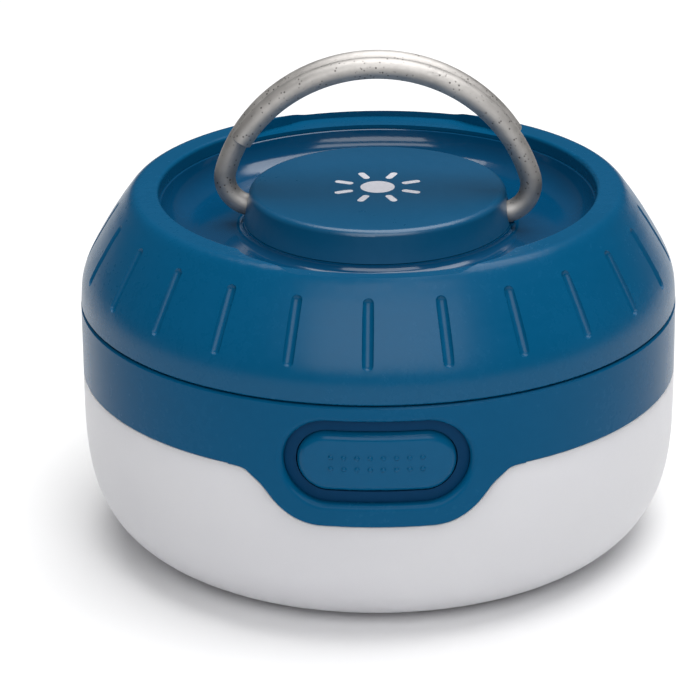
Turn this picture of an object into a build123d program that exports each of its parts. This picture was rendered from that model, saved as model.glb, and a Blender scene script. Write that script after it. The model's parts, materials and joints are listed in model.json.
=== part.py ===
from build123d import *
import math
import os

os.makedirs("parts", exist_ok=True)

# Compact camping lantern: a frosted globe that is both lens and foot, a blue
# housing with a thumb button, a twist-off cap over three AAA cells, and a
# two-wire hang loop that folds into a dish in the cap.
# Frame: origin at the centre of the base, +Z up, the button faces -Y.
# All dimensions in millimetres.

# ---- overall -------------------------------------------------------------
body_r = 40.1            # outer radius of the housing and the globe's widest ring
base_flat_r = 26.0       # radius of the globe's flat foot
seam_z = 23.9            # where the globe meets the housing
shoulder_z = 33.5        # top of the housing's outer ring
cap_z = 33.75            # bottom edge of the cap
rim_z = 48.8             # flat rim of the cap
front_yaw = -1.5         # grip grooves' offset from the button's centre, degrees

# ---- walls ---------------------------------------------------------------
globe_wall = 1.8
housing_wall = 1.7
cap_wall = 2.0

# ---- button --------------------------------------------------------------
btn_z = 25.7             # height of the button's centre
pad_w, pad_h = 20.2, 8.0
window_w, window_h = 23.6, 11.4
window_round = 0.75
pad_face_r = 39.8
bump_d, bump_pitch_x, bump_pitch_z = 0.72, 1.66, 1.56
press_travel = 0.6

# ---- thread between housing and cap ---------------------------------------
lead = 9.0               # lift per full turn, three starts
lug_arc = 44.0           # degrees covered by each lug and each ridge
lug_z = 36.6             # height of a lug's middle
neck_r = 36.5
lug_t, ridge_t = 1.4, 1.3

# ---- hang loops ----------------------------------------------------------
wire_d = 2.9
wire_r = wire_d / 2
loop_y = 1.55            # half the spacing of the two wires
pivot_z = 45.5
arc_z = 44.6             # centre of the arch
arc_r = 21.2             # centreline radius of the arch
bend_r = 4.0             # centreline radius of the bend into the mount
free_deg = 31.0          # height of the free end, measured at the arch's centre
stub_end_x = 7.0

# ---- puck, dish ----------------------------------------------------------
puck_top_z, puck_low_z = 48.6, 44.35
puck_top_r, puck_low_r = 17.1, 17.9
dish_floor_z, dish_r, dish_top_z = 43.0, 29.0, 46.9
lip_r = 29.3
dish_round = 4.8         # how far in from the wall the dish's floor starts
hub_r, hub_z = 18.05, 44.25
cove_r = 1.25            # concave round from the hub's side down to the floor

# ---- cells ---------------------------------------------------------------
cell_r, cell_len, cell_z, cell_pitch = 5.25, 44.5, 35.0, 10.7


def keep(part, name):
    part.label = name
    export_step(part, "parts/" + name + ".step")


def globe_point(a):
    """Outer profile of the globe as (radius, height); a runs from the seam to the foot."""
    c, s = max(math.cos(a), 0.0), math.sin(a)
    return (
        base_flat_r + (body_r - base_flat_r) * c**0.941,
        seam_z - seam_z * s**0.526,
    )


def offset_point(pts, i, dist):
    """Point i of a profile moved by dist square to the profile, to the left of its travel when negative."""
    a = pts[max(i - 1, 0)]
    b = pts[min(i + 1, len(pts) - 1)]
    dx, dz = b[0] - a[0], b[1] - a[1]
    n = math.hypot(dx, dz)
    return (pts[i][0] + dist * dz / n, pts[i][1] - dist * dx / n)


# ==========================================================================
# globe
# ==========================================================================
fine = [globe_point(math.pi / 2 * k / 400) for k in range(401)]
pick = [0, 8, 24, 50, 84, 124, 168, 214, 262, 312, 360, 400]
globe_outer = [fine[k] for k in pick]
globe_inner = [offset_point(fine, k, globe_wall) for k in pick if k >= 50]
globe_inner[-1] = (base_flat_r, globe_wall)


def tab_outline(grow, top):
    """Outline of the button tab in the front plane, as a closed wire's edges."""
    g = grow
    low = 17.1 - g
    right = [
        (7.0 + 0.3 * g, low),
        (9.6 + 0.6 * g, 17.5 - g),
        (11.7 + 0.8 * g, 18.6 - 0.7 * g),
        (13.6 + 0.9 * g, 20.45 - 0.5 * g),
        (14.9 + 0.8 * g, 22.05 - 0.6 * g),
        (16.2 + 0.5 * g, 23.15 - 0.9 * g),
        (19.0, 23.9 - g),
    ]
    with BuildLine() as line:
        Line((0, low), right[0])
        Spline(*right, tangents=[(1, 0), (1, 0)])
        Line(right[-1], (19.0, top))
        Line((19.0, top), (0, top))
        mirror(about=Plane.YZ)
    return line.line


with BuildSketch(Plane.XZ.offset(30)) as notch_sketch:
    add(tab_outline(0.12, 31.95))
    make_face()
with BuildPart() as globe:
    with BuildSketch(Plane.XZ) as s:
        with BuildLine() as l:
            Line((0, 0), globe_outer[-1])
            Spline(*reversed(globe_outer), tangents=[(1, 0), (0, 1)])
            Polyline(
                globe_outer[0],
                (38.3, seam_z),
                (38.3, 30.7),
                (36.9, 30.7),
                (36.9, 21.0),
                (globe_inner[0][0], 20.2),
                globe_inner[0],
            )
            Spline(*globe_inner, tangents=[(0, -1), (-1, 0)])
            Polyline((base_flat_r, globe_wall), (0, globe_wall), (0, 0))
        make_face()
    revolve(axis=Axis.Z)
    # gate mark in the middle of the foot
    with BuildSketch(Plane.XY):
        Circle(2.6)
    extrude(amount=0.35, mode=Mode.SUBTRACT)
    # notch for the button tab
    extrude(notch_sketch.sketch, amount=15, mode=Mode.SUBTRACT)
keep(globe.part, "globe")

# ==========================================================================
# lower housing: ring, button tab, neck with three lugs, inner flange
# ==========================================================================
with BuildPart() as lug:
    with BuildLine() as path:
        Helix(pitch=lead, height=lead * lug_arc / 360, radius=neck_r)
    with BuildSketch(
        Plane(origin=path.line @ 0, x_dir=(1, 0, 0), z_dir=path.line % 0)
    ):
        with Locations((0.2, 0)):
            Rectangle(1.3, lug_t)
    sweep(path=path.line, is_frenet=True)

with BuildPart() as ridge:
    with BuildLine() as path:
        Helix(pitch=lead, height=lead * lug_arc / 360, radius=38.0)
    with BuildSketch(
        Plane(origin=path.line @ 0, x_dir=(1, 0, 0), z_dir=path.line % 0)
    ):
        with Locations((-0.35, 0)):
            Rectangle(1.8, ridge_t)
    sweep(path=path.line, is_frenet=True)


def turned(part, angle, z):
    """The helical bar moved so that its middle is at that angle and height."""
    start = z - lead * lug_arc / 720
    return part.moved(Location((0, 0, start), (0, 0, angle - lug_arc / 2)))


lugs = [turned(lug.part, a, lug_z) for a in (30, 150, 270)]
ridge_z = lug_z - lead / 6
ridges = [turned(ridge.part, a, ridge_z) for a in (30, 150, 270)]

with BuildSketch(Plane.XZ.offset(30)) as tab_sketch:
    add(tab_outline(0.0, 25.2))
    make_face()

with BuildPart() as tab:
    extrude(tab_sketch.sketch, amount=15)
    with BuildSketch(Plane.XY.offset(10)):
        Circle(body_r)
    extrude(amount=30, mode=Mode.INTERSECT)
    with BuildSketch(Plane.XY.offset(10)):
        Circle(body_r - housing_wall)
    extrude(amount=30, mode=Mode.SUBTRACT)

post_at = [(0, 33.2), (-28.75, -16.6), (28.75, -16.6)]
tray_screw_at = [
    (33.0 * math.cos(math.radians(a)), 33.0 * math.sin(math.radians(a)))
    for a in (45, 135, 225, 315)
]

with BuildPart() as switch_space:
    with BuildSketch(Plane.XZ.offset(29)):
        with Locations((0, 25.9)):
            Rectangle(25.4, 11.4)
    extrude(amount=10)
    with BuildSketch(Plane.XY.offset(10)):
        Circle(neck_r + 0.1)
    extrude(amount=30, mode=Mode.INTERSECT)

with BuildPart() as housing:
    with BuildSketch(Plane.XZ):
        with BuildLine():
            Polyline(
                (body_r, seam_z + 0.15),
                (body_r, shoulder_z - 0.25),
                (body_r - 0.25, shoulder_z),
                (neck_r, shoulder_z),
                (neck_r, 38.1),
                (neck_r - 0.4, 38.5),
                (34.9, 38.5),
                (34.9, 28.8),
                (31.2, 28.8),
                (31.2, 27.2),
                (neck_r, 27.2),
                (neck_r, 31.9),
                (body_r - housing_wall, 31.9),
                (body_r - housing_wall, seam_z),
                (body_r - 0.15, seam_z),
                (body_r, seam_z + 0.15),
            )
        make_face()
    revolve(axis=Axis.Z)
    add(tab.part)
    for one in lugs:
        add(one)
    # deck posts under the flange
    with BuildSketch(Plane.XY.offset(23.2)):
        with Locations(*post_at):
            Circle(2.2)
    extrude(amount=4.6)
    with BuildSketch(Plane.XY.offset(23.2)):
        with Locations(*post_at):
            Circle(0.97)
    extrude(amount=3.6, mode=Mode.SUBTRACT)
    with BuildSketch(Plane.XY.offset(26.0)):
        with Locations(*tray_screw_at):
            Circle(0.97)
    extrude(amount=4, mode=Mode.SUBTRACT)
    # room for the switch and the button's flange
    add(switch_space.part, mode=Mode.SUBTRACT)
    # button window
    with BuildSketch(Plane.XZ.offset(34)):
        with Locations((0, btn_z)):
            SlotOverall(window_w, window_h)
    extrude(amount=10, mode=Mode.SUBTRACT)
    mouth = [
        e
        for e in housing.part.edges()
        if all(
            abs(math.hypot(p.X, p.Y) - body_r) < 0.02
            and abs(p.X) < window_w / 2 + 0.05
            and abs(p.Z - btn_z) < window_h / 2 + 0.05
            and p.Y < -30
            for p in (e @ 0, e @ 0.25, e @ 0.5, e @ 0.75, e @ 1)
        )
    ]
    fillet(mouth, window_round)
keep(housing.part, "lower_housing")

# ==========================================================================
# globe gasket: a C-shaped soft strip in the groove above the globe's lip
# ==========================================================================
with BuildPart() as gasket:
    with BuildSketch(Plane.XY.offset(30.75)):
        Circle(38.25)
        Circle(36.95, mode=Mode.SUBTRACT)
        with Locations((0, -40)):
            Rectangle(38.4, 24, mode=Mode.SUBTRACT)
    extrude(amount=1.1)
keep(gasket.part, "globe_gasket")


# ==========================================================================
# button: rubber boot, pad with bumps, switch and plunger
# ==========================================================================
def curved_plate(w, h, r_in, r_out, z):
    """A stadium-shaped plate bent to the housing's curve, between two radii."""
    with BuildPart() as plate:
        with BuildSketch(Plane.XZ.offset(28)):
            with Locations((0, z)):
                SlotOverall(w, h)
        extrude(amount=14)
        with BuildSketch(Plane.XY.offset(10)):
            Circle(r_out)
        extrude(amount=30, mode=Mode.INTERSECT)
        with BuildSketch(Plane.XY.offset(10)):
            Circle(r_in)
        extrude(amount=30, mode=Mode.SUBTRACT)
    return plate.part


boot_flange = curved_plate(24.4, 12.2, 36.9, 38.3, btn_z)
boot_face = curved_plate(window_w - 0.1, window_h - 0.1, 36.9, 38.9, btn_z)
with BuildPart() as boot:
    add(boot_flange)
    add(boot_face)
    with BuildSketch(Plane.XZ.offset(28)):
        with Locations((0, btn_z)):
            SlotOverall(pad_w + 0.3, pad_h + 0.3)
    extrude(amount=14, mode=Mode.SUBTRACT)
keep(boot.part, "button_boot")

pad_body = curved_plate(pad_w, pad_h, 36.6, pad_face_r, btn_z)
pad_flange = curved_plate(21.8, 9.6, 35.9, 36.85, btn_z)
bump_at = [
    (bump_pitch_x * (i - 3.5), btn_z + bump_pitch_z * (j - 0.5))
    for i in range(8)
    for j in range(2)
]
with BuildPart() as button:
    add(pad_body)
    front = [
        e
        for e in button.part.edges()
        if all(
            abs(math.hypot(p.X, p.Y) - pad_face_r) < 0.02
            for p in (e @ 0, e @ 0.25, e @ 0.5, e @ 0.75, e @ 1)
        )
    ]
    fillet(front, 1.15)
    add(pad_flange)
    with BuildSketch(Plane.XZ.offset(34.55)):
        with Locations((0, 25.4)):
            Circle(1.65)
    extrude(amount=2.2)
    for bx, bz in bump_at:
        with Locations((bx, -math.sqrt(pad_face_r**2 - bx**2) + 0.12, bz)):
            Sphere(bump_d / 2)
keep(button.part, "power_button")

with BuildPart() as switch:
    with BuildSketch(Plane.XZ.offset(30.5)):
        with Locations((0, 25.4)):
            Rectangle(6.2, 3.6)
    extrude(amount=3.4)
    with BuildSketch(Plane.XZ.offset(31.8)):
        with Locations((0, 25.4)):
            Rectangle(3.0, 1.8)
    extrude(amount=3, mode=Mode.SUBTRACT)
    chamfer(switch.edges().filter_by(Axis.Y).group_by(SortBy.LENGTH)[-1], 0.2)
keep(switch.part, "tact_switch")

with BuildPart() as plunger:
    with BuildSketch(Plane.XZ.offset(32.6)):
        with Locations((0, 25.4)):
            Rectangle(2.8, 1.6)
    extrude(amount=1.9)
    chamfer(plunger.faces().sort_by(Axis.Y)[0].edges(), 0.15)
keep(plunger.part, "switch_plunger")

# ==========================================================================
# light chamber: reflector deck, LED board, LEDs, screws, board header
# ==========================================================================
led_screw_at = [(0, 8.2), (0, -8.2)]
header_at = (7.6, 0.0)
with BuildPart() as deck:
    with BuildSketch(Plane.XY.offset(22.0)):
        Circle(36.7)
        with Locations((0, -36)):
            Rectangle(29.2, 14, mode=Mode.SUBTRACT)
    extrude(amount=1.2)
    # pocket that keeps the switch space out of the light chamber
    with BuildSketch(Plane.XY.offset(17.6)):
        with Locations((0, -33.4)):
            Rectangle(29.2, 8.8)
    extrude(amount=5.6)
    with BuildSketch(Plane.XY.offset(18.5)):
        with Locations((0, -34.4)):
            Rectangle(27.2, 8.8)
    extrude(amount=6, mode=Mode.SUBTRACT)
    with BuildSketch(Plane.XY.offset(17)):
        Circle(36.7)
    extrude(amount=8, mode=Mode.INTERSECT)
    # bosses for the LED board's screws, lead hole, deck screw holes
    with BuildSketch(Plane.XY.offset(22.0)):
        with Locations(*led_screw_at):
            Circle(2.0)
    extrude(amount=3.2)
    with BuildSketch(Plane.XY.offset(22.0)):
        with Locations(*led_screw_at):
            Circle(0.77)
    extrude(amount=2.6, mode=Mode.SUBTRACT)
    with BuildSketch(Plane.XY.offset(22.0)):
        with Locations(header_at):
            Rectangle(6.2, 3.4)
    extrude(amount=2, mode=Mode.SUBTRACT)
    with BuildSketch(Plane.XY.offset(22.0)):
        with Locations(*post_at):
            Circle(1.2)
    extrude(amount=2, mode=Mode.SUBTRACT)
keep(deck.part, "reflector_deck")

with BuildPart() as led_board:
    with BuildSketch(Plane.XY.offset(20.4)):
        Circle(11.0)
        with Locations(*led_screw_at):
            Circle(1.0, mode=Mode.SUBTRACT)
        with Locations(
            (header_at[0] - 1.27, header_at[1]), (header_at[0] + 1.27, header_at[1])
        ):
            Circle(0.5, mode=Mode.SUBTRACT)
    extrude(amount=1.58)
keep(led_board.part, "led_board")

with BuildPart() as leds:
    with BuildSketch(Plane.XY.offset(19.6)):
        Rectangle(3.5, 3.5)
        with PolarLocations(6.0, 4, start_angle=45):
            Rectangle(2.8, 2.8)
    extrude(amount=0.8)
keep(leds.part, "leds")


def screws(at, z_face, head_r, head_h, shank_r, shank_len, up=True):
    """Pan-head screws with a cross slot, as a group of separate solids."""
    sign = 1 if up else -1
    with BuildPart() as group:
        base = Plane.XY.offset(z_face)
        with BuildSketch(base.offset(-sign * head_h)):
            with Locations(*at):
                Circle(head_r)
        extrude(amount=sign * head_h)
        with BuildSketch(base):
            with Locations(*at):
                Circle(shank_r)
        extrude(amount=sign * shank_len)
        with BuildSketch(base.offset(-sign * head_h)):
            with Locations(*at):
                Rectangle(head_r * 1.15, head_r * 0.28)
                Rectangle(head_r * 0.28, head_r * 1.15)
        extrude(amount=sign * head_h * 0.5, mode=Mode.SUBTRACT)
    return group.part


keep(screws(led_screw_at, 20.38, 1.5, 1.1, 0.75, 4.0), "led_board_screws")
keep(screws(post_at, 21.98, 1.8, 1.2, 0.95, 4.4), "deck_screws")

with BuildPart() as header:
    with BuildSketch(Plane.XY.offset(24.7)):
        with Locations(header_at):
            Rectangle(5.1, 2.5)
    extrude(amount=2.45)
    with BuildSketch(Plane.XY.offset(19.9)):
        with Locations(
            (header_at[0] - 1.27, header_at[1]), (header_at[0] + 1.27, header_at[1])
        ):
            Rectangle(0.62, 0.62)
    extrude(amount=5.5)
keep(header.part, "board_header")

# ==========================================================================
# main board and its parts
# ==========================================================================
pcb_screw_at = [(28.3, 0), (-28.3, 0), (0, 22.5), (0, -22.5)]
with BuildPart() as pcb:
    with BuildSketch(Plane.XY.offset(27.2)):
        Circle(30.8)
        with Locations((0, -31.0)):
            Rectangle(9.0, 6.2)
        with Locations(*pcb_screw_at):
            Circle(1.1, mode=Mode.SUBTRACT)
        with Locations((23.72, 13.0), (-23.72, 13.0)):
            Rectangle(0.9, 2.8, mode=Mode.SUBTRACT)
    extrude(amount=1.6)
keep(pcb.part, "main_pcb")

with BuildPart() as driver:
    with BuildSketch(Plane.XY.offset(24.2)):
        with Locations((-12, -6)):
            RectangleRounded(6.0, 6.0, 1.2)
    extrude(amount=2.98)
    with BuildSketch(Plane.XY.offset(26.0)):
        with Locations((-3, -7)):
            Rectangle(4.9, 3.9)
        with Locations((-12, 4)):
            Rectangle(3.2, 1.6)
        with Locations((-6, 3)):
            Rectangle(2.0, 1.25)
        with Locations((6, -8)):
            Rectangle(2.0, 1.25)
        with Locations((12, -10)):
            Rectangle(4.3, 2.6)
    extrude(amount=1.18)
keep(driver.part, "driver_parts")

keep(screws(pcb_screw_at, 27.18, 1.8, 1.2, 0.95, 4.2), "pcb_screws")

# ==========================================================================
# cell tray, cells, contacts, springs
# ==========================================================================
rows = (-cell_pitch, 0.0, cell_pitch)
with BuildPart() as tray:
    with BuildSketch(Plane.XY.offset(28.9)):
        Circle(34.2)
        with Locations((0, -34.0)):
            Rectangle(13, 6, mode=Mode.SUBTRACT)
    extrude(amount=0.8)
    with BuildSketch(Plane.XY.offset(29.6)):
        Rectangle(51.2, 34.0)
    extrude(amount=5.0)
    with BuildSketch(Plane.XY.offset(34.0)):
        with Locations((24.95, 0), (-24.95, 0)):
            Rectangle(1.3, 33.0)
    extrude(amount=5.4)
    # cell bays
    with BuildSketch(Plane.YZ.offset(-24.3)):
        with Locations(*[(y, cell_z) for y in rows]):
            Circle(5.32)
        with Locations((0, cell_z + 4)):
            Rectangle(31.9, 8)
    extrude(amount=48.6, mode=Mode.SUBTRACT)
    # slots for the contact plates
    with BuildSketch(Plane.XY.offset(30.0)):
        with Locations((23.95, 0), (-23.95, 0)):
            Rectangle(0.7, 31.9)
    extrude(amount=6, mode=Mode.SUBTRACT)
    with BuildSketch(Plane.XY.offset(28)):
        with Locations((23.72, 13.0), (-23.72, 13.0)):
            Rectangle(0.9, 2.8)
    extrude(amount=4, mode=Mode.SUBTRACT)
    # bosses for the board's screws and holes for the tray's own screws
    with BuildSketch(Plane.XY.offset(29.6)):
        with Locations(*pcb_screw_at):
            Circle(2.2)
    extrude(amount=2.9)
    with BuildSketch(Plane.XY.offset(28.9)):
        with Locations(*pcb_screw_at):
            Circle(0.97)
    extrude(amount=2.9, mode=Mode.SUBTRACT)
    with BuildSketch(Plane.XY.offset(28)):
        with Locations(*tray_screw_at):
            Circle(1.1)
    extrude(amount=3, mode=Mode.SUBTRACT)
keep(tray.part, "battery_tray")
keep(screws(tray_screw_at, 29.72, 1.7, 1.1, 0.95, 3.2, up=False), "tray_screws")

with BuildPart() as cells:
    for n, y in enumerate(rows):
        turn = 1 if n != 1 else -1
        with BuildSketch(Plane.YZ.offset(-turn * 22.25)):
            with Locations((y, cell_z)):
                Circle(cell_r)
        extrude(amount=turn * 43.4)
        with BuildSketch(Plane.YZ.offset(turn * 21.15)):
            with Locations((y, cell_z)):
                Circle(1.9)
        extrude(amount=turn * 1.1)
    ends = [
        e
        for e in cells.edges().filter_by(GeomType.CIRCLE)
        if abs(e.radius - cell_r) < 0.01
    ]
    fillet(ends, 0.5)
keep(cells.part, "battery_cells")

with BuildPart() as plates:
    for side in (-1, 1):
        with BuildSketch(Plane.YZ.offset(side * 23.62)):
            with Locations((0, cell_z)):
                Rectangle(31.0, 8.6)
            with Locations((13.0, 29.6)):
                Rectangle(2.0, 4.6)
        extrude(amount=side * 0.4)
        for n, y in enumerate(rows):
            plus = (1 if n != 1 else -1) == side
            if plus:
                with BuildSketch(Plane.YZ.offset(side * 22.3)):
                    with Locations((y, cell_z)):
                        Circle(1.6)
                extrude(amount=side * 1.4)
keep(plates.part, "contact_plates")

with BuildPart() as coil:
    with BuildLine() as path:
        Helix(pitch=0.45, height=0.9, radius=2.7)
    with BuildSketch(
        Plane(origin=path.line @ 0, x_dir=(1, 0, 0), z_dir=path.line % 0)
    ):
        Circle(0.19)
    sweep(path=path.line, is_frenet=True)
spring_solids = []
for n, y in enumerate(rows):
    minus_side = -1 if n != 1 else 1
    # the coil's axis lies along X; it stands between the plate and the cell's flat end
    spot = Location((minus_side * 22.49, y, cell_z), (0, minus_side * 90, 0))
    spring_solids.append(coil.part.moved(spot))
springs = Compound(children=spring_solids)
keep(springs, "cell_springs")

# ==========================================================================
# cap: seal, grip shell, dish, screws
# ==========================================================================
with BuildPart() as seal:
    with BuildSketch(Plane.XZ):
        with Locations((35.4, 39.45)):
            Circle(0.75)
    revolve(axis=Axis.Z)
keep(seal.part, "cap_seal")

shell_outer = [
    (40.05, cap_z + 0.2),
    (39.98, 34.94),
    (39.89, 36.06),
    (39.69, 37.11),
    (39.33, 38.18),
    (38.79, 39.40),
    (38.01, 40.87),
    (36.95, 42.69),
    (36.24, 43.88),
    (35.45, 45.11),
    (34.72, 46.19),
    (34.05, 47.10),
    (33.50, 47.88),
    (32.95, 48.45),
    (32.00, rim_z),
]
shell_inner = [offset_point(shell_outer, i, -cap_wall) for i in range(3, 10)]
shell_inner = [(r, z) for r, z in reversed(shell_inner)]

groove_top = (35.05, 45.6)
groove_low = (39.0, 38.72)


scoop_r, scoop_x = 33.15, 10.0
scoop_y = math.sqrt(scoop_r**2 - scoop_x**2)
with BuildSketch(Plane.XY.offset(47.45)) as scoop_sketch:
    with BuildLine():
        # the side edges run in an S from the rim's inner edge to the arc that leaves a thin lip
        right = [(17.9, 22.5), (17.4, 24.7), (15.8, 27.1), (13.2, 29.2), (11.7, 30.6), (scoop_x, scoop_y)]
        Line((-17.9, 22.5), (17.9, 22.5))
        Spline(*right, tangents=[(0, 1), (-scoop_y, scoop_x)])
        ThreePointArc((scoop_x, scoop_y), (0, scoop_r), (-scoop_x, scoop_y))
        Spline(*[(-x, y) for x, y in reversed(right)], tangents=[(-scoop_y, -scoop_x), (0, -1)])
    make_face()

ring_screw_at = [(33.3, 0), (0, 33.3), (-33.3, 0), (0, -33.3)]

groove_r = 0.78
gx, gz = groove_low[0] - groove_top[0], groove_low[1] - groove_top[1]
glen = math.hypot(gx, gz)
nx, nz = -gz / glen, gx / glen

# one grip groove's cutter: a round-ended capsule, turned about its own axis
groove_plane = Plane(
    origin=(groove_top[0] + 0.38 * nx, 0, groove_top[1] + 0.38 * nz),
    x_dir=(gx, 0, gz),
    z_dir=(0, 1, 0),
)
with BuildPart() as groove:
    with BuildSketch(groove_plane):
        with BuildLine():
            half = groove_r * math.sqrt(0.5)
            Line((-groove_r, 0), (glen + groove_r, 0))
            ThreePointArc((glen + groove_r, 0), (glen + half, half), (glen, groove_r))
            Line((glen, groove_r), (0, groove_r))
            ThreePointArc((0, groove_r), (-half, half), (-groove_r, 0))
        make_face()
    revolve(axis=Axis(groove_plane.origin, (gx, 0, gz)), revolution_arc=360)


def wall_point(yaw, along, depth):
    r = groove_top[0] + gx * along - depth * nx
    z = groove_top[1] + gz * along - depth * nz
    return Vector(r * math.cos(math.radians(yaw)), r * math.sin(math.radians(yaw)), z)


def cut_groove(body, k):
    # the groove has to be open along its whole length, with the wall whole on both sides of it
    spare = None
    for nudge in (0, 0.04, -0.04, 0.09, -0.09, 0.15, -0.15, 0.22, -0.22):
        yaw = -90 + front_yaw + 15 * k + nudge
        found = (body - groove.part.moved(Location((0, 0, 0), (0, 0, yaw)))).solids()
        if len(found) != 1:
            continue
        one = found[0]
        is_open = not any(one.is_inside(wall_point(yaw, t, 0.15)) for t in (0.05, 0.5, 0.95))
        is_whole = all(
            one.is_inside(wall_point(yaw + side, t, 0.5)) for side in (-4, 4) for t in (0.2, 0.8)
        )
        if is_open and is_whole:
            if 4.5 < body.volume - one.volume < 7.5:
                return one
            spare = spare or one
    if spare is None:
        raise ValueError("grip groove %d isn't cut" % k)
    return spare


with BuildPart() as shell:
    with BuildSketch(Plane.XZ):
        with BuildLine():
            Line((39.85, cap_z), shell_outer[0])
            Spline(*shell_outer, tangents=[(0, 1), (-1, 0)])
            Line(shell_outer[-1], (lip_r + 0.5, rim_z))
            RadiusArc((lip_r + 0.5, rim_z), (lip_r, rim_z - 0.5), -0.5)
            Polyline(
                (lip_r, rim_z - 0.5),
                (lip_r, dish_top_z + 0.05),
                (32.3, dish_top_z + 0.05),
                (32.3, 45.9),
                shell_inner[0],
            )
            Spline(*shell_inner)
            Polyline(shell_inner[-1], (38.0, 36.6), (38.0, cap_z), (39.85, cap_z))
        make_face()
    revolve(axis=Axis.Z)
    for one in ridges:
        add(one)
    with BuildSketch(Plane.XY.offset(41.45)):
        with Locations(*ring_screw_at):
            Circle(1.3)
    extrude(amount=3.9)
    with BuildSketch(Plane.XY.offset(41.45)):
        with Locations(*ring_screw_at):
            Circle(0.72)
    extrude(amount=3.0, mode=Mode.SUBTRACT)
    extrude(scoop_sketch.sketch, amount=3, mode=Mode.SUBTRACT)
    extrude(
        scoop_sketch.sketch.rotate(Axis.Z, 180), amount=3, mode=Mode.SUBTRACT
    )
shell_body = shell.part.solids()[0]
for k in range(24):
    shell_body = cut_groove(shell_body, k)
keep(shell_body, "grip_shell")

with BuildPart() as dish:
    with BuildSketch(Plane.XZ):
        with BuildLine():
            Polyline(
                (15.5, 42.0),
                (27.2, 42.0),
                (30.6, 43.2),
                (30.6, 45.4),
                (32.2, 45.4),
                (32.2, dish_top_z),
                (dish_r + 0.1, dish_top_z),
                (dish_r, dish_top_z - 0.1),
            )
            Spline(
                (dish_r, dish_top_z - 0.1),
                (dish_r - dish_round, dish_floor_z),
                tangents=[(-0.16, -1), (-1, 0)],
            )
            Line(
                (dish_r - dish_round, dish_floor_z),
                (hub_r + cove_r, dish_floor_z),
            )
            RadiusArc(
                (hub_r + cove_r, dish_floor_z),
                (hub_r, dish_floor_z + cove_r),
                cove_r,
            )
            Polyline(
                (hub_r, dish_floor_z + cove_r),
                (hub_r - 0.1, hub_z),
                (15.5, hub_z),
                (15.5, 42.0),
            )
        make_face()
    revolve(axis=Axis.Z)
    # pockets under the loops' bends
    for side, y0 in ((-1, loop_y), (1, -loop_y)):
        with BuildSketch(Plane.XY.offset(43.3)):
            with Locations((side * 17.0, y0)):
                SlotOverall(5.0, 3.8)
        extrude(amount=3, mode=Mode.SUBTRACT)
keep(dish.part, "dish")

# retaining ring that holds the dish up against the rim and gives the seal its seat
with BuildPart() as dish_ring:
    with BuildSketch(Plane.XZ):
        with BuildLine():
            Polyline(
                (30.9, 40.35),
                (35.2, 40.35),
                (35.2, 41.4),
                (31.9, 41.4),
                (31.9, 45.38),
                (30.9, 45.38),
                (30.9, 40.35),
            )
        make_face()
    revolve(axis=Axis.Z)
    with BuildSketch(Plane.XY.offset(40)):
        with Locations(*ring_screw_at):
            Circle(0.85)
    extrude(amount=2, mode=Mode.SUBTRACT)
keep(dish_ring.part, "dish_ring")
keep(screws(ring_screw_at, 40.33, 1.25, 0.95, 0.7, 3.6), "dish_screws")

# ==========================================================================
# hook mount (puck), clamp, sleeves, screws, emblem
# ==========================================================================
clamp_screw_at = [
    (11.6 * math.cos(math.radians(a)), 11.6 * math.sin(math.radians(a)))
    for a in (45, 135, 225, 315)
]


def wire_seats():
    """Space that the two wire ends, their collars and sleeves need in the mount."""
    with BuildPart() as seats:
        for side, y0 in ((-1, loop_y), (1, -loop_y)):
            for x0, x1, r in ((6.8, 8.7, 2.45), (8.9, 14.1, 2.3), (6.9, 18.6, 1.52)):
                with BuildSketch(Plane.YZ.offset(side * x0)):
                    with Locations((y0, pivot_z)):
                        Circle(r)
                extrude(amount=side * (x1 - x0))
            # flared mouth, so that the bend can swing
            with BuildSketch(Plane.XY.offset(pivot_z)):
                with BuildLine():
                    Polyline(
                        (side * 16.2, y0),
                        (side * 16.2, y0 + 1.55),
                        (side * 18.6, y0 + 2.35),
                        (side * 18.6, y0),
                        (side * 16.2, y0),
                    )
                make_face()
            revolve(axis=Axis((0, y0, pivot_z), (1, 0, 0)))
    return seats.part


seats = wire_seats()


def emblem_face(z):
    """Plain lamp-light symbol: a disc and eight short rays."""
    with BuildSketch(Plane.XY.offset(z)) as mark:
        Circle(2.3)
        with PolarLocations(4.85, 8, start_angle=22.5):
            SlotOverall(2.6, 0.95)
    return mark.sketch


with BuildPart() as mount:
    with BuildSketch(Plane.XZ):
        with BuildLine():
            Polyline(
                (0, puck_top_z),
                (puck_top_r, puck_top_z),
                (puck_low_r, puck_low_z),
                (15.6, puck_low_z),
                (15.6, pivot_z),
                (0, pivot_z),
                (0, puck_top_z),
            )
        make_face()
    revolve(axis=Axis.Z)
    fillet(mount.faces().sort_by(Axis.Z)[-1].edges(), 0.9)
    add(seats, mode=Mode.SUBTRACT)
    # open slots below the wires, for assembly from underneath
    for side, y0 in ((-1, loop_y), (1, -loop_y)):
        with BuildSketch(Plane.XY.offset(44.0)):
            with Locations((side * 16.9, y0)):
                Rectangle(3.4, 3.1)
        extrude(amount=1.5, mode=Mode.SUBTRACT)
    with BuildSketch(Plane.XY.offset(pivot_z - 0.2)):
        with Locations(*clamp_screw_at):
            Circle(1.12)
    extrude(amount=2.1, mode=Mode.SUBTRACT)
    extrude(emblem_face(puck_top_z - 0.25), amount=1, mode=Mode.SUBTRACT)
keep(mount.part, "hook_mount")

with BuildPart() as emblem:
    extrude(emblem_face(puck_top_z - 0.25), amount=0.27)
keep(emblem.part, "top_emblem")

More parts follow.
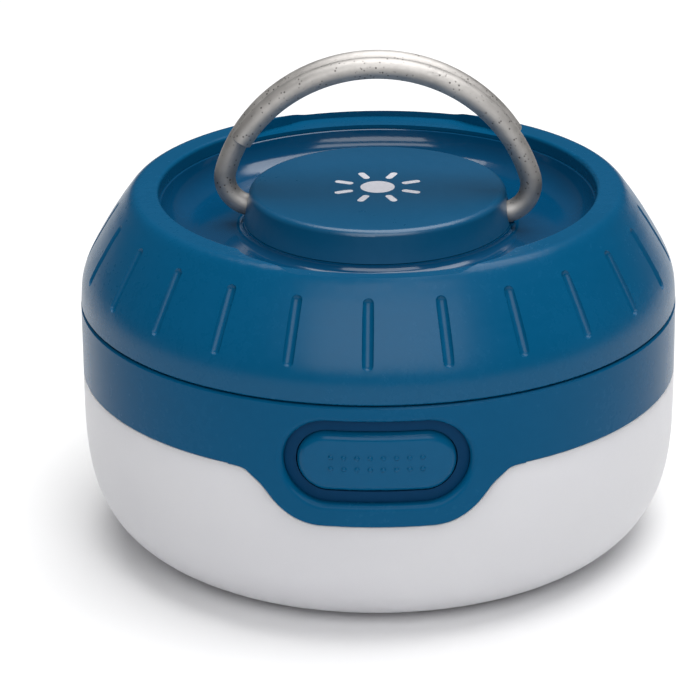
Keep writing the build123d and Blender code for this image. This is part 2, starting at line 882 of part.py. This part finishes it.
with BuildPart() as clamp:
    with BuildSketch(Plane.XY.offset(40.95)):
        Circle(17.3)
    extrude(amount=1.0)
    with BuildSketch(Plane.XY.offset(41.9)):
        Circle(15.35)
    extrude(amount=3.55)
    add(seats, mode=Mode.SUBTRACT)
    with BuildSketch(Plane.XY.offset(40.9)):
        with Locations(*clamp_screw_at):
            Circle(1.3)
    extrude(amount=6, mode=Mode.SUBTRACT)
    with BuildSketch(Plane.XY.offset(40.9)):
        with Locations(*clamp_screw_at):
            Circle(2.3)
    extrude(amount=1.6, mode=Mode.SUBTRACT)
keep(clamp.part, "hook_clamp")

keep(screws(clamp_screw_at, 42.48, 2.1, 1.3, 1.1, 4.6), "clamp_screws")

with BuildPart() as sleeves:
    for side, y0 in ((-1, loop_y), (1, -loop_y)):
        with BuildSketch(Plane.YZ.offset(side * 9.0)):
            with Locations((y0, pivot_z)):
                Circle(2.27)
                Circle(wire_r + 0.04, mode=Mode.SUBTRACT)
        extrude(amount=side * 5.0)
keep(sleeves.part, "friction_sleeves")


# ==========================================================================
# hang loops
# ==========================================================================
def loop(side):
    """One wire: a straight end in the mount, a tight bend, then the arch to the free end."""
    # centre of the bend, from tangency with the arch
    dz = pivot_z + bend_r - arc_z
    dx = math.sqrt((arc_r - bend_r) ** 2 - dz**2)
    tan_x = dx * arc_r / (arc_r - bend_r)
    tan_z = arc_z + dz * arc_r / (arc_r - bend_r)
    bend_mid = math.radians(-90 + 0.5 * (90 + math.degrees(math.atan2(dz, dx))))
    free = math.radians(free_deg)
    with BuildPart() as wire:
        with BuildLine(Plane.XZ) as path:
            l1 = Line((stub_end_x, pivot_z), (dx, pivot_z))
            l2 = ThreePointArc(
                (dx, pivot_z),
                (dx + bend_r * math.cos(bend_mid), pivot_z + bend_r + bend_r * math.sin(bend_mid)),
                (tan_x, tan_z),
            )
            l3 = ThreePointArc(
                (tan_x, tan_z),
                (0, arc_z + arc_r),
                (-arc_r * math.cos(free), arc_z + arc_r * math.sin(free)),
            )
        with BuildSketch(Plane.YZ.offset(stub_end_x)):
            with Locations((0, pivot_z)):
                Circle(wire_r)
        sweep(path=path.line)
        # swaged collar that keeps the end in the mount
        with BuildSketch(Plane.YZ.offset(stub_end_x)):
            with Locations((0, pivot_z)):
                Circle(2.3)
        extrude(amount=1.5)
        tip = wire.faces().filter_by(GeomType.PLANE).sort_by(Axis.X)[0]
        chamfer(tip.edges(), 0.25)
    return wire.part


right_wire = loop(1)
front_loop = right_wire.moved(Location((0, -loop_y, 0)))
rear_loop = right_wire.moved(Location((0, 0, 0), (0, 0, 180))).moved(
    Location((0, loop_y, 0))
)
keep(front_loop, "front_loop")
keep(rear_loop, "rear_loop")

box = Compound(
    children=[globe.part, housing.part, shell.part, button.part, front_loop, rear_loop]
).bounding_box()
print("overall", box.min, box.max)
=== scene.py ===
import json
import math

import bpy
import bmesh
from mathutils import Matrix, Vector

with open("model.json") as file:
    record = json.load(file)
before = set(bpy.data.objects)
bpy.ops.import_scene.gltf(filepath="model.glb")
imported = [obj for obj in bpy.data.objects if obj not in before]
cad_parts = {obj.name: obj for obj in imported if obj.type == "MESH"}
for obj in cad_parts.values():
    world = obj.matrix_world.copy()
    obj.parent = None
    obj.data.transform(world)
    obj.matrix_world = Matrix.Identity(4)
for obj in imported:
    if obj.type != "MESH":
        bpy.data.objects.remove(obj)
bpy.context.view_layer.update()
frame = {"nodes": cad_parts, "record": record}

scene = bpy.context.scene
nodes = frame["nodes"]
body_of_node = {}
for body_name, members in frame["record"]["behaviour"]["bodies"].items():
    for member in members:
        body_of_node[member] = body_name


# ---------------------------------------------------------------- camera
AZ, EL, DIST, ROLL = math.radians(0.5), math.radians(21.28), 0.5, math.radians(-0.40)
target = Vector((0.0, 0.0, 0.0336))
eye = target + DIST * Vector((math.sin(AZ) * math.cos(EL), -math.cos(AZ) * math.cos(EL), math.sin(EL)))
cam_data = bpy.data.cameras.new("camera")
cam = bpy.data.objects.new("camera", cam_data)
scene.collection.objects.link(cam)
cam_data.sensor_width = 36.0
cam_data.lens = 190.1
cam_data.shift_x = -0.0404
cam_data.shift_y = -0.0837
cam_data.clip_start = 0.01
cam_data.clip_end = 20.0
aim = (target - eye).to_track_quat("-Z", "Y").to_matrix()
cam.matrix_world = Matrix.Translation(eye) @ (aim @ Matrix.Rotation(ROLL, 3, "Z")).to_4x4()
scene.camera = cam


# ---------------------------------------------------------------- material helpers
def new_material(name):
    m = bpy.data.materials.new(name)
    m.use_nodes = True
    nt = m.node_tree
    nt.nodes.clear()
    out = nt.nodes.new("ShaderNodeOutputMaterial")
    bsdf = nt.nodes.new("ShaderNodeBsdfPrincipled")
    nt.links.new(bsdf.outputs["BSDF"], out.inputs["Surface"])
    coord = nt.nodes.new("ShaderNodeTexCoord")
    return m, nt, bsdf, coord.outputs["Object"]


def noise(nt, vec, scale, detail=4.0, rough=0.55, distortion=0.0):
    n = nt.nodes.new("ShaderNodeTexNoise")
    n.inputs["Scale"].default_value = scale
    n.inputs["Detail"].default_value = detail
    n.inputs["Roughness"].default_value = rough
    n.inputs["Distortion"].default_value = distortion
    nt.links.new(vec, n.inputs["Vector"])
    return n.outputs["Fac"]


def voronoi(nt, vec, scale, feature="F1", randomness=1.0):
    n = nt.nodes.new("ShaderNodeTexVoronoi")
    n.feature = feature
    n.inputs["Scale"].default_value = scale
    n.inputs["Randomness"].default_value = randomness
    nt.links.new(vec, n.inputs["Vector"])
    return n.outputs["Distance"]


def remap(nt, value, a, b, c, d, smooth=False):
    n = nt.nodes.new("ShaderNodeMapRange")
    n.interpolation_type = "SMOOTHSTEP" if smooth else "LINEAR"
    n.inputs["From Min"].default_value = a
    n.inputs["From Max"].default_value = b
    n.inputs["To Min"].default_value = c
    n.inputs["To Max"].default_value = d
    nt.links.new(value, n.inputs["Value"])
    return n.outputs["Result"]


def mix(nt, fac, a, b):
    n = nt.nodes.new("ShaderNodeMix")
    n.data_type = "RGBA"
    nt.links.new(fac, n.inputs["Factor"])
    for sock, v in ((n.inputs[6], a), (n.inputs[7], b)):
        if hasattr(v, "links"):
            nt.links.new(v, sock)
        else:
            sock.default_value = (*v, 1.0)
    return n.outputs[2]


def math_node(nt, op, a, b):
    n = nt.nodes.new("ShaderNodeMath")
    n.operation = op
    for sock, v in ((n.inputs[0], a), (n.inputs[1], b)):
        if hasattr(v, "links"):
            nt.links.new(v, sock)
        else:
            sock.default_value = v
    return n.outputs[0]


def bump(nt, bsdf, height, strength, distance):
    n = nt.nodes.new("ShaderNodeBump")
    n.inputs["Strength"].default_value = strength
    n.inputs["Distance"].default_value = distance
    nt.links.new(height, n.inputs["Height"])
    nt.links.new(n.outputs["Normal"], bsdf.inputs["Normal"])
    return n


def moulded(name, colour, rough, grain=2600.0, grain_depth=0.000012, vary=0.05, coat=0.0, spec=0.5, sss=0.0):
    """Injection-moulded plastic: fine erosion texture, faint flow mottling, uneven gloss."""
    m, nt, bsdf, vec = new_material(name)
    large = noise(nt, vec, 55.0, 3.0)
    fine = noise(nt, vec, 900.0, 5.0, 0.6)
    both = math_node(nt, "ADD", math_node(nt, "MULTIPLY", large, 0.6), math_node(nt, "MULTIPLY", fine, 0.4))
    lo = tuple(c * (1 - vary) for c in colour)
    hi = tuple(min(1.0, c * (1 + vary) + 0.0008) for c in colour)
    nt.links.new(mix(nt, remap(nt, both, 0.35, 0.65, 0.0, 1.0), lo, hi), bsdf.inputs["Base Color"])
    nt.links.new(remap(nt, both, 0.3, 0.7, rough - 0.035, rough + 0.035), bsdf.inputs["Roughness"])
    bsdf.inputs["Specular IOR Level"].default_value = spec
    if coat:
        bsdf.inputs["Coat Weight"].default_value = coat
        bsdf.inputs["Coat Roughness"].default_value = 0.12
    if sss:
        bsdf.inputs["Subsurface Weight"].default_value = sss
        bsdf.inputs["Subsurface Radius"].default_value = (1.0, 1.0, 1.0)
        bsdf.inputs["Subsurface Scale"].default_value = 0.004
    grain_h = math_node(nt, "ADD", noise(nt, vec, grain, 3.0, 0.6), math_node(nt, "MULTIPLY", noise(nt, vec, grain * 0.28, 2.0), 0.5))
    bump(nt, bsdf, grain_h, 0.5, grain_depth)
    return m


BLUE = (0.0, 0.066, 0.152)
M = {}
M["blue_shell"] = moulded("blue_shell", BLUE, 0.27, vary=0.04, spec=0.17)
M["blue_mount"] = moulded("blue_mount", BLUE, 0.30, vary=0.04, spec=0.5)
M["blue_button"] = moulded("blue_button", (0.0, 0.068, 0.158), 0.20, grain=2000.0, grain_depth=0.000004, vary=0.04, spec=0.12)
M["blue_band"] = moulded("blue_band", (0.0, 0.065, 0.152), 0.26, vary=0.04, spec=0.07)
M["blue_gloss"] = moulded("blue_gloss", (0.0, 0.048, 0.120), 0.13, grain=700.0, grain_depth=0.000004, vary=0.03)
# boot rubber: colour set darker than the shell blue; this darkness is partly painted shade standing in for the shade in
# the recessed groove around the button, partly the boot's own tone
M["blue_rubber"] = moulded("blue_rubber", (0.0, 0.030, 0.085), 0.46, grain=1800.0, grain_depth=0.00001, vary=0.06, spec=0.06)
M["seal_rubber"] = moulded("seal_rubber", (0.022, 0.022, 0.024), 0.55, grain=1500.0, grain_depth=0.00002, vary=0.12)
M["white_plastic"] = moulded("white_plastic", (0.82, 0.82, 0.80), 0.35, vary=0.02)
M["black_plastic"] = moulded("black_plastic", (0.022, 0.022, 0.025), 0.48, grain=1600.0, grain_depth=0.00002, vary=0.12)
M["nylon"] = moulded("nylon", (0.70, 0.67, 0.60), 0.42, vary=0.04, sss=0.2)
M["component"] = moulded("component", (0.028, 0.028, 0.032), 0.5, grain=2200.0, grain_depth=0.00002, vary=0.15)


def frosted_globe():
    """Translucent satin polycarbonate, etched on the outside."""
    m, nt, bsdf, vec = new_material("frosted_globe")
    cloud = noise(nt, vec, 38.0, 3.0, 0.5)
    fine = noise(nt, vec, 1400.0, 4.0, 0.6)
    nt.links.new(mix(nt, remap(nt, cloud, 0.35, 0.65, 0.0, 1.0), (0.660, 0.658, 0.705), (0.690, 0.688, 0.730)), bsdf.inputs["Base Color"])
    nt.links.new(remap(nt, fine, 0.3, 0.7, 0.34, 0.42), bsdf.inputs["Roughness"])
    bsdf.inputs["IOR"].default_value = 1.5
    bsdf.inputs["Specular IOR Level"].default_value = 0.45
    bsdf.inputs["Subsurface Weight"].default_value = 0.7
    bsdf.inputs["Subsurface Radius"].default_value = (1.0, 1.0, 1.0)
    bsdf.inputs["Subsurface Scale"].default_value = 0.012
    bump(nt, bsdf, fine, 0.4, 0.00001)
    return m


M["frosted_globe"] = frosted_globe()


def metal(name, colour, rough, spread=0.08, pit=0.0, grain=1800.0, depth=0.00001, stretch=None):
    """Metal with uneven gloss and, for tumbled wire, small dark pits."""
    m, nt, bsdf, vec = new_material(name)
    if stretch:
        mp = nt.nodes.new("ShaderNodeMapping")
        mp.inputs["Scale"].default_value = stretch
        nt.links.new(vec, mp.inputs["Vector"])
        vec = mp.outputs["Vector"]
    bsdf.inputs["Metallic"].default_value = 1.0
    big = noise(nt, vec, 160.0, 4.0, 0.6)
    fine = noise(nt, vec, grain, 5.0, 0.65)
    lo = tuple(c * 0.86 for c in colour)
    hi = tuple(min(1.0, c * 1.10) for c in colour)
    base = mix(nt, remap(nt, big, 0.35, 0.65, 0.0, 1.0), lo, hi)
    height = fine
    rough_v = remap(nt, math_node(nt, "ADD", math_node(nt, "MULTIPLY", big, 0.5), math_node(nt, "MULTIPLY", fine, 0.5)), 0.3, 0.7, rough - spread, rough + spread)
    if pit:
        cell = voronoi(nt, vec, 1700.0)
        gate = noise(nt, vec, 420.0, 3.0, 0.6)
        spot = math_node(nt, "MULTIPLY", remap(nt, cell, 0.12, 0.32, 1.0, 0.0, True), remap(nt, gate, 0.44, 0.58, 0.0, 1.0, True))
        base = mix(nt, math_node(nt, "MULTIPLY", spot, pit), base, (0.10, 0.095, 0.09))
        height = math_node(nt, "SUBTRACT", math_node(nt, "MULTIPLY", fine, 0.5), math_node(nt, "MULTIPLY", spot, 1.2))
    nt.links.new(base, bsdf.inputs["Base Color"])
    nt.links.new(rough_v, bsdf.inputs["Roughness"])
    bump(nt, bsdf, height, 0.6, depth)
    return m


M["steel_wire"] = metal("steel_wire", (0.47, 0.452, 0.435), 0.58, 0.10, pit=0.9, grain=1500.0, depth=0.00003)
M["screw_steel"] = metal("screw_steel", (0.62, 0.62, 0.64), 0.26, 0.06)
M["contact_metal"] = metal("contact_metal", (0.72, 0.69, 0.63), 0.24, 0.06)


def emblem_print():
    """Pad-printed light grey ink: slightly uneven cover, fine dots of the blue below."""
    m, nt, bsdf, vec = new_material("emblem_print")
    worn = noise(nt, vec, 2600.0, 5.0, 0.7)
    soft = noise(nt, vec, 240.0, 3.0)
    ink = mix(nt, remap(nt, soft, 0.35, 0.65, 0.0, 1.0), (0.52, 0.52, 0.57), (0.60, 0.60, 0.65))
    nt.links.new(mix(nt, remap(nt, worn, 0.62, 0.72, 0.0, 0.35, True), ink, BLUE), bsdf.inputs["Base Color"])
    nt.links.new(remap(nt, worn, 0.3, 0.7, 0.34, 0.46), bsdf.inputs["Roughness"])
    bump(nt, bsdf, worn, 0.5, 0.00001)
    return m


M["emblem_print"] = emblem_print()


def board(name, mask, trace, rough):
    """Circuit board: solder mask with copper traces showing through as a lighter pattern."""
    m, nt, bsdf, vec = new_material(name)
    bricks = nt.nodes.new("ShaderNodeTexBrick")
    bricks.inputs["Scale"].default_value = 260.0
    bricks.inputs["Mortar Size"].default_value = 0.035
    bricks.inputs["Color1"].default_value = (*mask, 1)
    bricks.inputs["Color2"].default_value = (*[c * 0.92 for c in mask], 1)
    bricks.inputs["Mortar"].default_value = (*trace, 1)
    bricks.offset = 0.5
    nt.links.new(vec, bricks.inputs["Vector"])
    nt.links.new(bricks.outputs["Color"], bsdf.inputs["Base Color"])
    fine = noise(nt, vec, 1500.0, 4.0)
    nt.links.new(remap(nt, fine, 0.3, 0.7, rough - 0.04, rough + 0.04), bsdf.inputs["Roughness"])
    bump(nt, bsdf, fine, 0.4, 0.000015)
    return m


M["board_white"] = board("board_white", (0.80, 0.80, 0.79), (0.72, 0.72, 0.70), 0.34)
M["board_green"] = board("board_green", (0.012, 0.11, 0.045), (0.03, 0.19, 0.07), 0.28)


def led():
    """Phosphor dome over a pale package, with a fine grain in the phosphor."""
    m, nt, bsdf, vec = new_material("led")
    fine = noise(nt, vec, 3000.0, 4.0, 0.7)
    nt.links.new(mix(nt, remap(nt, fine, 0.35, 0.65, 0.0, 1.0), (0.80, 0.60, 0.12), (0.88, 0.72, 0.22)), bsdf.inputs["Base Color"])
    nt.links.new(remap(nt, fine, 0.3, 0.7, 0.2, 0.3), bsdf.inputs["Roughness"])
    bsdf.inputs["Subsurface Weight"].default_value = 0.2
    bsdf.inputs["Subsurface Scale"].default_value = 0.0008
    bump(nt, bsdf, fine, 0.4, 0.00001)
    return m


M["led"] = led()


def cell_jacket():
    """Printed shrink sleeve: dark body with a pale band by one end, faint axial wrinkles."""
    m, nt, bsdf, vec = new_material("cell_jacket")
    sep = nt.nodes.new("ShaderNodeSeparateXYZ")
    nt.links.new(vec, sep.inputs[0])
    stretch = nt.nodes.new("ShaderNodeMapping")
    stretch.inputs["Scale"].default_value = (0.12, 1.0, 1.0)
    nt.links.new(vec, stretch.inputs["Vector"])
    wrinkle = noise(nt, stretch.outputs["Vector"], 700.0, 4.0, 0.6)
    fine = noise(nt, vec, 1200.0, 3.0)
    dark = mix(nt, remap(nt, fine, 0.35, 0.65, 0.0, 1.0), (0.035, 0.037, 0.042), (0.055, 0.057, 0.063))
    band = remap(nt, sep.outputs[0], 0.0102, 0.0104, 0.0, 1.0, True)
    nt.links.new(mix(nt, band, dark, (0.50, 0.36, 0.18)), bsdf.inputs["Base Color"])
    nt.links.new(remap(nt, wrinkle, 0.3, 0.7, 0.22, 0.32), bsdf.inputs["Roughness"])
    bump(nt, bsdf, wrinkle, 0.5, 0.00002)
    return m


M["cell_jacket"] = cell_jacket()

# ---------------------------------------------------------------- CAD nodes that keep their shape
slot_of = {s["node"]: s["material_slot"] for s in frame["record"]["subparts"]}
special = {"hook_mount": "blue_mount", "power_button": "blue_button", "lower_housing": "blue_band"}
for name, obj in nodes.items():
    mat = M[special.get(name, slot_of[name])]
    if not obj.material_slots:
        obj.data.materials.append(mat)
    for ms in obj.material_slots:
        ms.material = mat


# ---------------------------------------------------------------- floor and light
def plane(name, size, z):
    me = bpy.data.meshes.new(name)
    h = size / 2
    me.from_pydata([(-h, -h, z), (h, -h, z), (h, h, z), (-h, h, z)], [], [(0, 1, 2, 3)])
    o = bpy.data.objects.new(name, me)
    scene.collection.objects.link(o)
    return o


floor = plane("floor", 6.0, -0.00002)
fm, fnt, fb, fvec = new_material("floor_white")
fn = noise(fnt, fvec, 6.0, 3.0)
fnt.links.new(mix(fnt, remap(fnt, fn, 0.3, 0.7, 0.0, 1.0), (0.84, 0.84, 0.84), (0.85, 0.85, 0.85)), fb.inputs["Base Color"])
fb.inputs["Roughness"].default_value = 0.75
fb.inputs["Specular IOR Level"].default_value = 0.2
floor.data.materials.append(fm)


def area(name, size, loc, aim_at, power, shape="RECTANGLE", size_y=None, colour=(1, 1, 1), spread=180.0):
    ld = bpy.data.lights.new(name, "AREA")
    ld.shape = shape
    ld.size = size
    if size_y:
        ld.size_y = size_y
    ld.energy = power
    ld.color = colour
    ld.spread = math.radians(spread)
    lo = bpy.data.objects.new(name, ld)
    scene.collection.objects.link(lo)
    lo.location = loc
    lo.rotation_euler = (Vector(aim_at) - Vector(loc)).to_track_quat("-Z", "Y").to_euler()
    return lo


# one broad box above, one in front that gives the soft highlight on the slope and in the dish
area("softbox_top", 0.90, (0.10, 0.10, 0.80), (0, 0, 0.03), 10.0, size_y=0.80)
area("softbox_front", 0.80, (0.03, -0.62, 0.48), (0, 0, 0.03), 4.0, size_y=0.46)

world = bpy.data.worlds.new("studio")
world.use_nodes = True
world.node_tree.nodes["Background"].inputs["Color"].default_value = (1.0, 1.0, 1.0, 1.0)
world.node_tree.nodes["Background"].inputs["Strength"].default_value = 0.07
scene.world = world
scene.view_settings.view_transform = "Standard"
scene.view_settings.look = "None"
